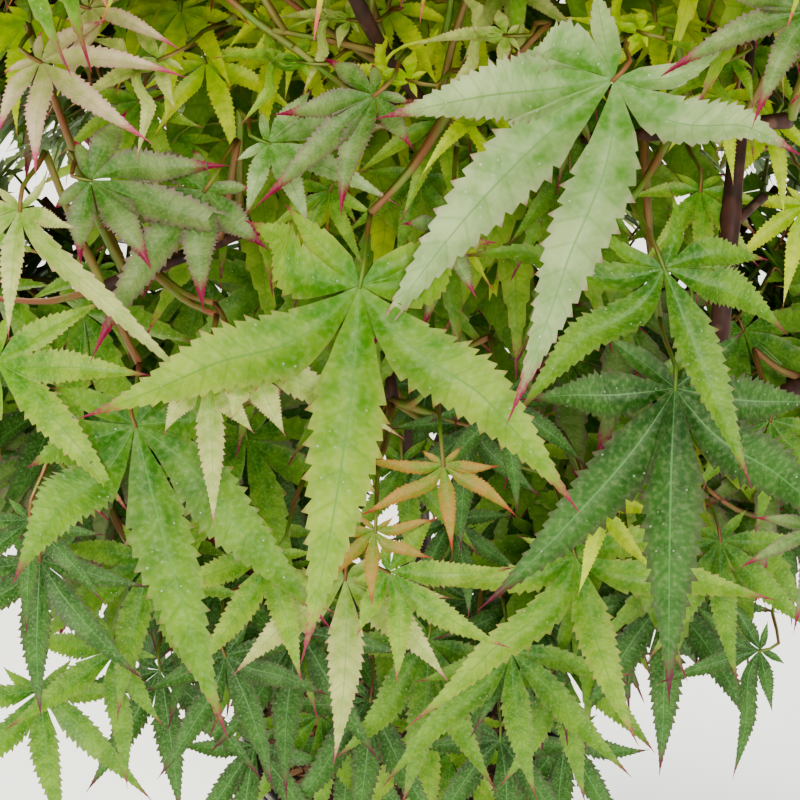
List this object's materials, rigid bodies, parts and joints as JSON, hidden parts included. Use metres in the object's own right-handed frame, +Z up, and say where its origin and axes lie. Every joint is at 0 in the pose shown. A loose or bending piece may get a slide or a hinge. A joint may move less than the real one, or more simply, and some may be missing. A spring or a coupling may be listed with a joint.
{
  "type": "potted tree",
  "caption": "Young Japanese maple with a bushy crown of deeply lobed leaves, planted in a plain round nursery pot.",
  "frame": {"origin": "centre of the pot's flat underside, on the surface the pot stands on", "axes": "+Z up along the pot's axis and the trunk, -Y towards the front of the plant, +X to its right as seen from the front"},
  "size_m": [0.3859, 0.3769, 0.5971],
  "materials": {
    "pot": "black moulded plastic, satin",
    "compost": "moist bark compost, rough",
    "bark": "smooth young bark, dark brown to purple",
    "foliage": "waxy green leaf, soft sheen"
  },
  "bodies": {
    "root": {"pot": "pot", "compost": "compost", "trunk": "bark", "bough_front": "bark", "bough_right": "bark", "bough_left": "bark", "bough_low_left": "bark", "bough_low_right": "bark", "bough_low_back": "bark", "foliage_top": "foliage", "foliage_front": "foliage", "foliage_right": "foliage", "foliage_left": "foliage", "foliage_low_left": "foliage", "foliage_low_right": "foliage", "foliage_low_back": "foliage"}
  },
  "joints": []
}
